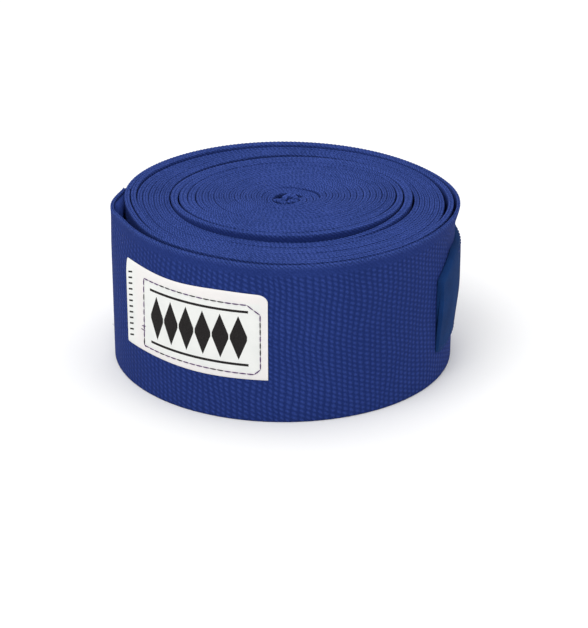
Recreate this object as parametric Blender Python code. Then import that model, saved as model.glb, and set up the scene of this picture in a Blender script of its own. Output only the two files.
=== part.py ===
"""Rolled hand wrap: one long woven strip wound into an upright roll.

The roll stands on the edge of its windings. The strip's outer end carries a
stitched label outside, a hook patch inside and, a quarter turn further in, a
loop-pile patch. The inner end is doubled into a thumb loop at the middle.
Lengths are in metres, +Z is up and the label faces -Y.
"""
import math

import bmesh
import bpy
from mathutils import Matrix

MM = 0.001
AXIS = (-0.917 * MM, 0.845 * MM)   # winding axis, set so the outline is centred

# Strip
OUTER_RADIUS = 53.3 * MM            # mid-thickness radius at the free end
PITCH = 1.8 * MM                    # growth in radius per turn
THICKNESS = 1.2 * MM
CLEARANCE = 0.45 * MM               # least gap between windings
RIM_WIDTH = 50.8 * MM               # 2 inch strip
BAND_WIDTH = 50.0 * MM
DISC_WIDTH = 49.6 * MM
SEGMENTS = 24                       # flats per turn
FREE_END = -101.0                   # bearing of the free end, 0 is -Y, 90 is +X
CUT = 0.35 * MM                     # gap between two lengths of the strip

# Turns counted inwards from the free end
END_TURNS = (0.0, 33.0 / 360.0)
TAB_TURNS = (33.0 / 360.0, 104.0 / 360.0)
TAIL_TURNS = (104.0 / 360.0, 143.0 / 360.0)
RIM_TURNS = (143.0 / 360.0, 2.05)
BAND_TURNS = (2.05, 5.25, 8.45)
RING_TURNS = (8.45, 10.30)
DISC_TURNS = (10.30, 14.90, 19.50, 24.10)
CENTRE_TURNS = (24.10, 25.60)

# Turns and radius at the ends of each evenly wound stretch
RADII = (
    (0.0, OUTER_RADIUS),
    (8.10, OUTER_RADIUS - 8.10 * PITCH),
    (8.50, 36.8 * MM),
    (10.30, 32.4 * MM),
    (24.30, 32.4 * MM - 14.0 * PITCH),
    (25.60, 4.6 * MM),
)

# How far the windings sit off the axis towards +X and +Y, after so many turns
SHIFTS = (
    (1.0, 0.0, 0.0),
    (8.10, 1.6 * MM, 4.2 * MM),
    (8.50, 1.4 * MM, 2.8 * MM),
    (9.60, 1.4 * MM, 2.8 * MM),
    (12.0, 2.5 * MM, 3.7 * MM),
    (15.0, 2.5 * MM, 3.7 * MM),
    (25.6, 1.0 * MM, 1.4 * MM),
)

# The rim is dented at the front left, and a crevice parts it from the band
DENTS = ((3.3 * MM, -75.0, 26.0), (2.0 * MM, -32.0, 20.0))
CREVICE = 0.4 * MM
CREVICE_CLOSED = -10.0              # bearing where the crevice is closed

# Inner windings have been pushed up and tilted
RING_LIFT = 1.30 * MM
RING_SLOPE = (0.011, -0.034)        # rise per metre towards +X and +Y
DISC_LIFT = 1.67 * MM
DISC_SLOPE = (0.015, -0.0386)
CENTRE_DROP = 1.4 * MM

# Outer end: stands off the roll on the left, with its free end pressed in
STAND_OFF = 0.5 * MM
PRESSED_END = 1.1 * MM

# Label and patches
LABEL_ARC = (-62.5, -5.2)
LABEL_Z = (14.0 * MM, 41.5 * MM)
LABEL_THICKNESS = 0.40 * MM
LABEL_SEAM_ARC = (-51.7, -6.1 - 1.6)
LABEL_SEAM_Z = (16.0 * MM, 39.2 * MM)
HOOK_ARC = (-62.0, -8.0)
HOOK_Z = (9.0 * MM, 41.0 * MM)
HOOK_THICKNESS = 0.45 * MM
PILE_ARC = (61.0, 112.0)
PILE_Z = (9.0 * MM, 40.0 * MM)
PILE_THICKNESS = 1.9 * MM
SKIN_GAP = 0.16 * MM                # between a sewn patch and the strip
THREAD = 0.40 * MM

# Thumb loop: a narrow folded loop standing in the core
LOOP_LENGTH = 5.4 * MM
LOOP_DEPTH = 4.0 * MM
LOOP_WALL = 0.9 * MM
LOOP_Z = (4.0 * MM, 47.0 * MM)
TACK_Z = (8.0 * MM, 20.0 * MM)

HEM_THICKNESS = 0.30 * MM
HEM_ARC = (-100.6, -90.0)


def smooth(value, low, high):
    """Rise from 0 to 1 between two values with level ends."""
    step = min(max((value - low) / (high - low), 0.0), 1.0)
    return step * step * (3.0 - 2.0 * step)


def bearing_of(turns):
    """Bearing in degrees of a point that many turns in from the free end."""
    return FREE_END + 360.0 * turns


def direction(bearing):
    """Unit vector at a bearing."""
    angle = math.radians(bearing)
    return math.sin(angle), -math.cos(angle)


def bell(value, middle, width):
    """Bell curve."""
    return math.exp(-((value - middle) / width) ** 2)


def between(turns, knots):
    """Values at a place, on straight lines between knots that start with their turns."""
    if turns <= knots[0][0]:
        return knots[0][1:]
    for first, last in zip(knots, knots[1:]):
        if turns <= last[0]:
            share = (turns - first[0]) / (last[0] - first[0])
            return tuple(near + (far - near) * share for near, far in zip(first[1:], last[1:]))
    return knots[-1][1:]


def stand_off(turns):
    """Extra radius of the outer end, which has sprung off the roll."""
    bearing = bearing_of(turns)
    pressed = (1.0 - smooth(bearing, FREE_END, -86.0)) ** 1.3
    return STAND_OFF * bell(bearing, -84.0, 26.0) * (turns < 0.6) - PRESSED_END * pressed


def pressed_in(turns):
    """Radius lost in the dents and at the crevice."""
    around = (bearing_of(turns) + 180.0) % 360.0 - 180.0
    fading = 1.0 - min(max((turns - 2.0) / 7.0, 0.0), 1.0)
    dent = sum(depth * bell(around, middle, width) for depth, middle, width in DENTS)
    crevice = smooth(turns, 2.2, 2.5) * (1.0 - smooth(turns, 3.1, 8.0))
    crevice *= 1.0 - bell(around, CREVICE_CLOSED, 55.0)
    return dent * smooth(turns, 0.5, 0.8) * fading + CREVICE * crevice


def winding_radius(turns):
    """Mid-thickness radius."""
    return between(turns, RADII)[0] + stand_off(turns) - pressed_in(turns)


def winding_shift(turns):
    """How far the windings sit towards +X and +Y."""
    return between(turns, SHIFTS)


def winding_point(turns, radial, height):
    """Point on the strip, from its mid-thickness and the roll's base."""
    radius = winding_radius(turns) + radial
    unit_x, unit_y = direction(bearing_of(turns))
    shift_x, shift_y = winding_shift(turns)
    return (AXIS[0] + shift_x + radius * unit_x, AXIS[1] + shift_y + radius * unit_y, height)


def half_thickness(turns):
    """Half the strip's thickness, less where the windings are pressed together."""
    if turns < 1.0:
        return THICKNESS / 2.0
    unit_x, unit_y = direction(bearing_of(turns))
    spacings = []
    for near in (turns, turns + 1.0):
        if near > CENTRE_TURNS[1]:
            continue
        here = winding_point(near, 0.0, 0.0)
        there = winding_point(near - 1.0, 0.0, 0.0)
        spacings.append((there[0] - here[0]) * unit_x + (there[1] - here[1]) * unit_y)
    return min(THICKNESS, min(spacings) - CLEARANCE) / 2.0


def rim_edges(turns):
    """Bottom and top of the strip in the rim."""
    return 0.0, RIM_WIDTH


def band_edges(turns):
    """Bottom and top of the strip in the flat band."""
    return 0.0, BAND_WIDTH


def sloped(turns, lift, slope, width):
    """Edges of windings that are lifted and tilted."""
    place = winding_point(turns, 0.0, 0.0)
    low = max(lift + slope[0] * place[0] + slope[1] * place[1], 0.0)
    return low, low + width


def ring_edges(turns):
    """Bottom and top of the strip in the raised ring."""
    return sloped(turns, RING_LIFT, RING_SLOPE, BAND_WIDTH)


def disc_edges(turns):
    """Bottom and top of the strip in the inner disc."""
    return sloped(turns, DISC_LIFT, DISC_SLOPE, DISC_WIDTH)


def centre_edges(turns):
    """Bottom and top of the strip at the core."""
    return DISC_LIFT, DISC_LIFT + DISC_WIDTH - CENTRE_DROP


def material(name, colour, roughness):
    """Plain Principled material."""
    made = bpy.data.materials.new(name)
    made.use_nodes = True
    shader = made.node_tree.nodes["Principled BSDF"]
    shader.inputs["Base Color"].default_value = (*colour, 1.0)
    shader.inputs["Roughness"].default_value = roughness
    shader.inputs["Metallic"].default_value = 0.0
    made.diffuse_color = (*colour, 1.0)
    return made


def add_mesh(name, points, faces, finish):
    """Make an object from points and faces, with its faces pointing out."""
    mesh = bpy.data.meshes.new(name)
    mesh.from_pydata(points, [], faces)
    shape = bmesh.new()
    shape.from_mesh(mesh)
    bmesh.ops.recalc_face_normals(shape, faces=shape.faces)
    shape.to_mesh(mesh)
    shape.free()
    mesh.materials.append(finish)
    part = bpy.data.objects.new(name, mesh)
    bpy.context.collection.objects.link(part)
    mesh.shade_smooth()
    mesh.set_sharp_from_angle(angle=math.radians(40.0))
    return part


def sweep(name, sections, finish, closed=False):
    """Join matching cross sections into one solid, capped or closed in a ring."""
    count = len(sections[0])
    points = [point for section in sections for point in section]
    faces = []
    spans = len(sections) if closed else len(sections) - 1
    for span in range(spans):
        here = span * count
        there = (span + 1) % len(sections) * count
        for corner in range(count):
            after = (corner + 1) % count
            faces.append((here + corner, here + after, there + after, there + corner))
    if not closed:
        last = (len(sections) - 1) * count
        faces.append(tuple(range(count)))
        faces.append(tuple(last + corner for corner in range(count)))
    return add_mesh(name, points, faces, finish)


def stations(first, last, per_turn=SEGMENTS):
    """Turn counts from first to last, on the flats that all windings share."""
    inner = range(math.ceil(first * per_turn + 0.15), math.floor(last * per_turn - 0.15) + 1)
    return [first] + [index / per_turn for index in inner] + [last]


def strip(name, turns, edges, finish, per_turn=SEGMENTS):
    """One length of the wound strip."""
    trim = CUT / (2.0 * math.pi * (OUTER_RADIUS - PITCH * turns[0])) / 2.0
    sections = []
    for place in stations(turns[0] + trim, turns[1] - trim, per_turn):
        low, high = edges(place)
        half = half_thickness(place)
        sections.append([
            winding_point(place, -half, low),
            winding_point(place, -half, high),
            winding_point(place, half, high),
            winding_point(place, half, low),
        ])
    return sweep(name, sections, finish)


def turns_at(bearing):
    """Turn count of a bearing on the outermost winding."""
    return (bearing - FREE_END) / 360.0


def patch(name, arc, heights, face, thickness, finish, corner=0.0):
    """Curved pad on the strip's outer (face 1) or inner (face -1) side.

    corner rounds the pad's outline by that radius in plan.
    """
    start, stop = arc
    near = face * (THICKNESS / 2.0 + SKIN_GAP)
    far = near + face * thickness
    count = max(6, round((stop - start) / 6.0))
    bearings = [start + (stop - start) * index / count for index in range(count + 1)]
    if corner > 0.0:
        step = math.degrees(corner / OUTER_RADIUS)
        bearings = [start, start + 0.3 * step, start + step] + bearings[1:-1]
        bearings += [stop - step, stop - 0.3 * step, stop]
    sections = []
    for bearing in bearings:
        inset = 0.0
        if corner > 0.0:
            side = min(bearing - start, stop - bearing) / math.degrees(corner / OUTER_RADIUS)
            reach = min(max(1.0 - side, 0.0), 1.0)
            inset = corner * (1.0 - math.sqrt(max(1.0 - reach * reach, 0.0)))
            inset = min(inset, 0.92 * corner)
        place = turns_at(bearing)
        low = heights[0] + inset
        high = heights[1] - inset
        sections.append([
            winding_point(place, near, low),
            winding_point(place, near, high),
            winding_point(place, far, high),
            winding_point(place, far, low),
        ])
    return sweep(name, sections, finish)


def seam(name, arc, heights, radial, finish):
    """Stitched rectangle lying on the outer winding, as one closed thread."""
    corners = [(arc[0], heights[0]), (arc[1], heights[0]), (arc[1], heights[1]), (arc[0], heights[1])]
    middle = (sum(arc) / 2.0, sum(heights) / 2.0)
    path = []
    for index, corner in enumerate(corners):
        after = corners[(index + 1) % 4]
        count = max(1, round(abs(after[0] - corner[0]) / 6.0))
        for step in range(count):
            share = step / count
            path.append((corner[0] + (after[0] - corner[0]) * share,
                         corner[1] + (after[1] - corner[1]) * share))
    half_arc = (arc[1] - arc[0]) / 2.0
    half_rise = (heights[1] - heights[0]) / 2.0
    arc_inset = math.degrees(THREAD / OUTER_RADIUS)
    sections = []
    for bearing, height in path:
        across = (bearing - middle[0]) / half_arc
        along = (height - middle[1]) / half_rise
        on_side = abs(across) > 0.999
        on_end = abs(along) > 0.999
        inner_bearing = bearing - math.copysign(arc_inset, across) * on_side
        inner_height = height - math.copysign(THREAD, along) * on_end
        outside = turns_at(bearing)
        inside = turns_at(inner_bearing)
        sections.append([
            winding_point(outside, radial, height),
            winding_point(outside, radial + THREAD, height),
            winding_point(inside, radial + THREAD, inner_height),
            winding_point(inside, radial, inner_height),
        ])
    return sweep(name, sections, finish, closed=True)


def core_centre():
    """Middle of the innermost windings in plan."""
    shift = winding_shift(CENTRE_TURNS[1])
    return AXIS[0] + shift[0], AXIS[1] + shift[1]


def folded_loop(name, finish):
    """Flattened loop of strip standing in the core, open at both ends."""
    middle_x, middle_y = core_centre()
    sections = []
    steps = 20
    for index in range(steps):
        angle = 2.0 * math.pi * index / steps
        across = math.cos(angle)
        along = math.sin(angle)
        outer = (middle_x + across * LOOP_LENGTH / 2.0, middle_y + along * LOOP_DEPTH / 2.0)
        inner = (middle_x + across * (LOOP_LENGTH / 2.0 - LOOP_WALL),
                 middle_y + along * (LOOP_DEPTH / 2.0 - LOOP_WALL))
        sections.append([
            (*outer, LOOP_Z[0]),
            (*outer, LOOP_Z[1]),
            (*inner, LOOP_Z[1]),
            (*inner, LOOP_Z[0]),
        ])
    return sweep(name, sections, finish, closed=True)


def block(name, low, high, finish):
    """Box between two corners."""
    middle = [(first + second) / 2.0 for first, second in zip(low, high)]
    size = [second - first for first, second in zip(low, high)]
    shape = bmesh.new()
    bmesh.ops.create_cube(shape, size=1.0, matrix=Matrix.Translation(middle) @ Matrix.Diagonal((*size, 1.0)))
    mesh = bpy.data.meshes.new(name)
    shape.to_mesh(mesh)
    shape.free()
    mesh.materials.append(finish)
    part = bpy.data.objects.new(name, mesh)
    bpy.context.collection.objects.link(part)
    return part


def main():
    """Build every piece."""
    for leftover in list(bpy.data.objects):
        bpy.data.objects.remove(leftover, do_unlink=True)

    woven = material("woven_strip", (0.045, 0.075, 0.210), 0.92)
    pile = material("loop_pile", (0.022, 0.062, 0.150), 0.95)
    hook = material("hook_tape", (0.020, 0.030, 0.075), 0.75)
    satin = material("satin_label", (0.860, 0.840, 0.800), 0.55)
    thread = material("dark_thread", (0.030, 0.015, 0.040), 0.80)
    blue_thread = material("blue_thread", (0.035, 0.060, 0.170), 0.80)

    strip("end_strip", END_TURNS, rim_edges, woven, per_turn=60)
    strip("tab_strip", TAB_TURNS, rim_edges, woven, per_turn=60)
    strip("tail_strip", TAIL_TURNS, rim_edges, woven, per_turn=60)
    strip("rim_turns", RIM_TURNS, rim_edges, woven, per_turn=36)
    strip("band_outer_turns", BAND_TURNS[0:2], band_edges, woven)
    strip("band_inner_turns", BAND_TURNS[1:3], band_edges, woven)
    strip("ring_turns", RING_TURNS, ring_edges, woven)
    strip("disc_outer_turns", DISC_TURNS[0:2], disc_edges, woven)
    strip("disc_middle_turns", DISC_TURNS[1:3], disc_edges, woven, per_turn=20)
    strip("disc_inner_turns", DISC_TURNS[2:4], disc_edges, woven, per_turn=16)
    strip("centre_turns", CENTRE_TURNS, centre_edges, woven, per_turn=16)

    patch("label", LABEL_ARC, LABEL_Z, 1, LABEL_THICKNESS, satin)
    label_face = THICKNESS / 2.0 + SKIN_GAP + LABEL_THICKNESS + 0.10 * MM
    seam("label_stitching", LABEL_SEAM_ARC, LABEL_SEAM_Z, label_face, thread)
    patch("hook_patch", HOOK_ARC, HOOK_Z, -1, HOOK_THICKNESS, hook)
    patch("end_hem", HEM_ARC, (0.6 * MM, 46.0 * MM), -1, HEM_THICKNESS, woven)
    patch("loop_patch", PILE_ARC, PILE_Z, 1, PILE_THICKNESS, pile, corner=3.0 * MM)
    pile_face = THICKNESS / 2.0 + SKIN_GAP + PILE_THICKNESS + 0.05 * MM
    seam("loop_patch_stitching", (PILE_ARC[0] + 2.5, PILE_ARC[1] - 2.5),
         (PILE_Z[0] + 1.6 * MM, PILE_Z[1] - 1.6 * MM), pile_face, blue_thread)

    folded_loop("thumb_loop", woven)
    middle_x, middle_y = core_centre()
    half_x = 0.62 * (LOOP_LENGTH / 2.0 - LOOP_WALL)
    half_y = 0.62 * (LOOP_DEPTH / 2.0 - LOOP_WALL)
    block("thumb_loop_tack", (middle_x - half_x, middle_y - half_y, TACK_Z[0]),
          (middle_x + half_x, middle_y + half_y, TACK_Z[1]), blue_thread)


main()
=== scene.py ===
"""Looks of a rolled hand wrap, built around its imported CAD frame.

The wrap is one woven strip wound round an upright axis. Its path is a spiral
whose middle drifts towards +X and +Y in the inner windings. Lengths are in metres,
bearings in degrees: 0 looks out along -Y and 90 along +X. A place on the
strip is given in turns, counted inwards from its free end.
"""
import logging
import math
from dataclasses import dataclass, field
from enum import Enum

import bpy
import numpy as np
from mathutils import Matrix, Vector


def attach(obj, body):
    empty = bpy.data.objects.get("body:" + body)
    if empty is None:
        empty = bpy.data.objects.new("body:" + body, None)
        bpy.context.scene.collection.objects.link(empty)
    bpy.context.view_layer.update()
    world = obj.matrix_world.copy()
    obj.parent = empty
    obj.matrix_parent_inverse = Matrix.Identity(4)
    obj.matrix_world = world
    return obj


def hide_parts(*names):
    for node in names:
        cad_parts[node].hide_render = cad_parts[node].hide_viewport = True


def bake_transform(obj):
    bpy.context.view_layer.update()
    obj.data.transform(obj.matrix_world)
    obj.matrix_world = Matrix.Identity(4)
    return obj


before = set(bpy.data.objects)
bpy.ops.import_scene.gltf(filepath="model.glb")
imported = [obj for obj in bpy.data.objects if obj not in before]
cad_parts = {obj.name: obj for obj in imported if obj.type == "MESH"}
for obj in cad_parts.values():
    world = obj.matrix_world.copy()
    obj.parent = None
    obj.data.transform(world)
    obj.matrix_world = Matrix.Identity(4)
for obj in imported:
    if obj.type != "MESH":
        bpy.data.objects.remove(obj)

LOG = logging.getLogger("hand_wrap")
MM = 0.001
STRIP_WIDTH = 50.8 * MM
BEND = 6.0 / 360.0
WHITE = (1.0, 1.0, 1.0, 1.0)
Array = np.ndarray


# ---------------------------------------------------------------- shader maths


class Number:
    """A number that varies over a surface: a socket with arithmetic."""

    def __init__(self, graph: "Graph", socket: bpy.types.NodeSocket) -> None:
        """Wrap an output socket of a node graph."""
        self.graph = graph
        self.socket = socket

    def _math(self, operation: str, *terms: "Number | float") -> "Number":
        """Add a Math node on these terms and return its result."""
        node = self.graph.node("ShaderNodeMath", {"operation": operation}, dict(enumerate(terms)))
        return Number(self.graph, node.outputs[0])

    def __add__(self, other: "Number | float") -> "Number":
        """Sum."""
        return self._math("ADD", self, other)

    def __sub__(self, other: "Number | float") -> "Number":
        """Difference."""
        return self._math("SUBTRACT", self, other)

    def __mul__(self, other: "Number | float") -> "Number":
        """Product."""
        return self._math("MULTIPLY", self, other)

    def __truediv__(self, other: "Number | float") -> "Number":
        """Quotient."""
        return self._math("DIVIDE", self, other)

    def __radd__(self, other: float) -> "Number":
        """Sum with a plain number first."""
        return self._math("ADD", other, self)

    def __rsub__(self, other: float) -> "Number":
        """Difference from a plain number."""
        return self._math("SUBTRACT", other, self)

    def __rmul__(self, other: float) -> "Number":
        """Product with a plain number first."""
        return self._math("MULTIPLY", other, self)

    def fract(self) -> "Number":
        """Part after the decimal point."""
        return self._math("FRACT", self)

    def floor(self) -> "Number":
        """Whole part."""
        return self._math("FLOOR", self)

    def sine(self) -> "Number":
        """Sine of an angle in radians."""
        return self._math("SINE", self)

    def eased(self, low: float, high: float) -> "Number":
        """Rise smoothly from 0 at low to 1 at high."""
        node = self.graph.node(
            "ShaderNodeMapRange",
            {"interpolation_type": "SMOOTHSTEP"},
            {"Value": self, "From Min": low, "From Max": high, "To Min": 0.0, "To Max": 1.0},
        )
        return Number(self.graph, node.outputs[0])


class Graph:
    """Node tree of one Principled material."""

    def __init__(self, name: str, roughness: float, gloss: float = 0.08) -> None:
        """Start a material.

        Args:
            name: Name of the material.
            roughness: Roughness of the whole surface.
            gloss: Level of its mirror-like share.
        """
        self.material = bpy.data.materials.new(name)
        self.material.use_nodes = True
        self.shader = self.material.node_tree.nodes["Principled BSDF"]
        self.shader.inputs["Roughness"].default_value = roughness
        self.shader.inputs["Specular IOR Level"].default_value = gloss

    def node(self, kind: str, settings: dict, inputs: dict) -> bpy.types.Node:
        """Add a node.

        Args:
            kind: Blender's type name of the node.
            settings: Properties to set first.
            inputs: Value, colour, vector or link for each named socket.

        Returns:
            The node.
        """
        made = self.material.node_tree.nodes.new(kind)
        for key, value in settings.items():
            setattr(made, key, value)
        for key, value in inputs.items():
            socket = made.inputs[key]
            if isinstance(value, Number):
                value = value.socket
            if isinstance(value, bpy.types.NodeSocket):
                self.material.node_tree.links.new(value, socket)
            else:
                socket.default_value = value
        return made

    def surface(self) -> tuple[Number, Number]:
        """Length along the piece and height across it from its own map, in millimetres."""
        uv = self.node("ShaderNodeUVMap", {"uv_map": "weave"}, {})
        split = self.node("ShaderNodeSeparateXYZ", {}, {"Vector": uv.outputs[0]})
        return Number(self, split.outputs[0]), Number(self, split.outputs[1])

    def attribute(self, name: str) -> Number:
        """A number stored on the mesh's points."""
        node = self.node("ShaderNodeAttribute", {"attribute_name": name}, {})
        return Number(self, node.outputs["Fac"])

    def place(self) -> bpy.types.NodeSocket:
        """Object coordinates."""
        return self.node("ShaderNodeTexCoord", {}, {}).outputs["Object"]

    def noise(self, scale: float, detail: float = 2.0, vector: object = None) -> Number:
        """Soft noise, from 0 to 1, with that many features a metre."""
        node = self.node(
            "ShaderNodeTexNoise",
            {},
            {"Vector": self.place() if vector is None else vector, "Scale": scale, "Detail": detail},
        )
        return Number(self, node.outputs["Fac"])

    def vector(self, along: "Number | float", across: "Number | float") -> bpy.types.NodeSocket:
        """Flat vector from two numbers."""
        return self.node("ShaderNodeCombineXYZ", {}, {0: along, 1: across}).outputs[0]

    def mix(self, share: "Number | float", first: object, second: object) -> bpy.types.NodeSocket:
        """Blend two colours, by a share of the second."""
        pair = [(*c, 1.0) if isinstance(c, tuple) else c for c in (first, second)]
        node = self.node(
            "ShaderNodeMix", {"data_type": "RGBA"}, {0: share, 6: pair[0], 7: pair[1]}
        )
        return node.outputs[2]

    def colour(self, socket: object) -> None:
        """Feed Base Color."""
        if isinstance(socket, tuple):
            self.shader.inputs["Base Color"].default_value = (*socket, 1.0)
        else:
            self.material.node_tree.links.new(socket, self.shader.inputs["Base Color"])

    def bump(self, height: Number, depth: float, strength: float = 1.0) -> None:
        """Feed Normal with a bump whose height of 1 stands for depth metres."""
        node = self.node(
            "ShaderNodeBump", {}, {"Height": height, "Distance": depth, "Strength": strength}
        )
        self.material.node_tree.links.new(node.outputs[0], self.shader.inputs["Normal"])


# ---------------------------------------------------------------- finishes


class Shade(Enum):
    """Linear colours of the wrap's parts."""

    WEAVE_LIT = (0.029, 0.057, 0.258)
    # painted shade: darker copy of the weave colour, laid into the hollows of the weave's relief
    WEAVE_PAINTED_SHADE = (0.010, 0.024, 0.128)
    EDGE = (0.040, 0.072, 0.290)
    # painted shade: darker copy of the edge colour, laid between the cord's knots, whose crests are pushed
    # towards EDGE as painted highlight
    EDGE_PAINTED_SHADE = (0.013, 0.030, 0.135)
    PILE_LIT = (0.009, 0.042, 0.160)
    PILE_DEEP = (0.005, 0.022, 0.084)
    HOOK = (0.010, 0.018, 0.060)
    SATIN = (0.790, 0.800, 0.775)
    SATIN_COOL = (0.730, 0.745, 0.725)
    SATIN_WARM = (0.790, 0.730, 0.725)
    INK = (0.022, 0.020, 0.020)
    THREAD = (0.080, 0.022, 0.130)
    THREAD_BLACK = (0.010, 0.008, 0.016)
    BLUE_THREAD = (0.030, 0.055, 0.220)
    FUZZ = (0.180, 0.190, 0.330)
    FLOOR = (0.82, 0.82, 0.82)


@dataclass(frozen=True)
class WovenFace:
    """Double-faced weave with slanting ticks in columns and thick edges.

    Attributes:
        column: Width of one column of ticks, in millimetres.
        row: Height of one tick, in millimetres.
        knot: Length of one wave of the cord, in millimetres.
        upright: Where along the strip the ticks lose their slant, in millimetres.
        top: Where across it the cord begins, in millimetres.
        relief: Height of the weave, in metres.
    """

    column: float = 1.85
    row: float = 1.50
    knot: float = 1.35
    upright: tuple[float, float] = (100.0, 132.0)
    top: tuple[float, float] = (46.0, 47.2)
    relief: float = 0.34 * MM

    def build(self) -> bpy.types.Material:
        """Make the material.

        A column is half a ribbed wave along the strip. In each column the
        ticks are waves across it, slanted one way and shifted by half a tick
        from one column to the next; the slant fades further round the front.
        The top of the strip and its edges are slanted cord instead, a wave
        of both coordinates.
        """
        graph = Graph("woven_strip", 0.9)
        along, across = graph.surface()
        sway = graph.noise(90.0, 1.0, graph.vector(along * MM, across * (0.7 * MM)))
        warp = graph.noise(700.0, 2.0, graph.vector(along * MM, across * MM))
        lane = (along + (sway - 0.5) * 3.0) / self.column
        step = lane.floor()
        inside = lane.fract()
        slant = 0.60 - 0.45 * along.eased(*self.upright)
        tick = across / self.row + step * 0.5 + inside * slant + (warp - 0.5) * 0.30
        rib = (inside * math.pi).sine()
        bead = (tick * (2.0 * math.pi)).sine() * 0.5 + 0.5
        face = rib * 0.35 + bead * (rib * 0.50 + 0.15)
        edge = graph.attribute("edge")
        cord = ((along / self.knot + across * 0.85) * (2.0 * math.pi)).sine() * 0.5 + 0.5
        plain = across.eased(*self.top) * (1.0 - edge)
        woven = face * (1.0 - plain) + plain * (0.38 + 0.16 * cord)
        lift = woven * (1.0 - edge) + edge * (0.30 + 0.50 * cord)
        fuzz = graph.noise(2400.0, 4.0)
        worn = graph.noise(60.0, 2.0)
        # painted shade: the face colour follows the relief height, with the lit colour on the crests and
        # painted shade in the hollows, mottled by random noise
        tone = lift * 0.60 + (fuzz - 0.5) * 0.75 + (worn - 0.5) * 0.25
        base = graph.mix(tone.eased(0.05, 0.85), Shade.WEAVE_PAINTED_SHADE.value, Shade.WEAVE_LIT.value)
        # painted highlight and painted shade: the edge colour brightens on the cord's crests and darkens
        # between them, mottled by random noise
        cord_highlight_and_mottle = cord * 0.30 + (fuzz - 0.5) * 1.6 + 0.28 + worn * 0.2
        lit = graph.mix(cord_highlight_and_mottle.eased(0.30, 0.85), Shade.EDGE_PAINTED_SHADE.value, Shade.EDGE.value)
        graph.colour(graph.mix(edge, base, lit))
        graph.bump(lift + (fuzz - 0.5) * 0.25, self.relief, 0.8)
        return graph.material


@dataclass(frozen=True)
class PileFace:
    """Brushed loops, almost smooth, with a soft teal tint."""

    def build(self) -> bpy.types.Material:
        """Make the material: fine noise for loops, coarse noise for the brushing."""
        graph = Graph("loop_pile", 0.95)
        loops = graph.noise(3400.0, 3.0)
        brushed = graph.noise(120.0, 2.0)
        tone = loops * 0.6 + brushed * 0.5
        graph.colour(graph.mix(tone.eased(0.25, 0.85), Shade.PILE_DEEP.value, Shade.PILE_LIT.value))
        graph.bump(loops, 0.25 * MM, 0.7)
        return graph.material


@dataclass(frozen=True)
class SatinLabel:
    """White satin with fine cross threads, warmer outside its stitched frame."""

    def build(self) -> bpy.types.Material:
        """Make the material: ribs along the label and a faint warm border."""
        graph = Graph("satin_label", 0.55, 0.2)
        along, across = graph.surface()
        ribs = (across * (2.0 * math.pi / 0.32)).sine() * 0.5 + 0.5
        cloud = graph.noise(160.0, 2.0)
        warm = graph.attribute("border")
        white = graph.mix(cloud.eased(0.2, 0.8), Shade.SATIN_COOL.value, Shade.SATIN.value)
        graph.colour(graph.mix(warm * (cloud * 0.5 + 0.25), white, Shade.SATIN_WARM.value))
        graph.bump(ribs * 0.6 + cloud * 0.6, 0.05 * MM, 0.5)
        return graph.material


@dataclass(frozen=True)
class PlainFinish:
    """One colour with a little mottling.

    Attributes:
        name: Name of the material.
        shade: Colour.
        roughness: Roughness.
        grain: Features a metre of the mottling.
    """

    name: str
    shade: Shade
    roughness: float = 0.8
    grain: float = 2500.0

    def build(self) -> bpy.types.Material:
        """Make the material."""
        graph = Graph(self.name, self.roughness)
        speck = graph.noise(self.grain, 2.0)
        dark = tuple(0.62 * part for part in self.shade.value)
        graph.colour(graph.mix(speck.eased(0.3, 0.7), dark, self.shade.value))
        graph.bump(speck, 0.05 * MM, 0.5)
        return graph.material


@dataclass
class Wardrobe:
    """Every material of the wrap, made once."""

    woven: bpy.types.Material = field(default_factory=lambda: WovenFace().build())
    pile: bpy.types.Material = field(default_factory=lambda: PileFace().build())
    satin: bpy.types.Material = field(default_factory=lambda: SatinLabel().build())
    hook: bpy.types.Material = field(
        default_factory=lambda: PlainFinish("hook_tape", Shade.HOOK, 0.6, 900.0).build()
    )
    ink: bpy.types.Material = field(
        default_factory=lambda: PlainFinish("woven_ink", Shade.INK, 0.8, 3000.0).build()
    )
    thread: bpy.types.Material = field(
        default_factory=lambda: PlainFinish("dark_thread", Shade.THREAD).build()
    )
    black_thread: bpy.types.Material = field(
        default_factory=lambda: PlainFinish("black_thread", Shade.THREAD_BLACK).build()
    )
    blue_thread: bpy.types.Material = field(
        default_factory=lambda: PlainFinish("blue_thread", Shade.BLUE_THREAD).build()
    )
    fuzz: bpy.types.Material = field(
        default_factory=lambda: PlainFinish("frayed_yarn", Shade.FUZZ, 0.9).build()
    )


# ---------------------------------------------------------------- geometry


def smooth(value: Array | float, low: float, high: float) -> Array:
    """Rise from 0 at low to 1 at high along 3s^2 - 2s^3."""
    step = np.clip((np.asarray(value, float) - low) / (high - low), 0.0, 1.0)
    return step * step * (3.0 - 2.0 * step)


def bell(value: Array | float, middle: float, width: float) -> Array:
    """Bell curve exp(-((value - middle) / width)^2)."""
    return np.exp(-(((np.asarray(value, float) - middle) / width) ** 2))


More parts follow.
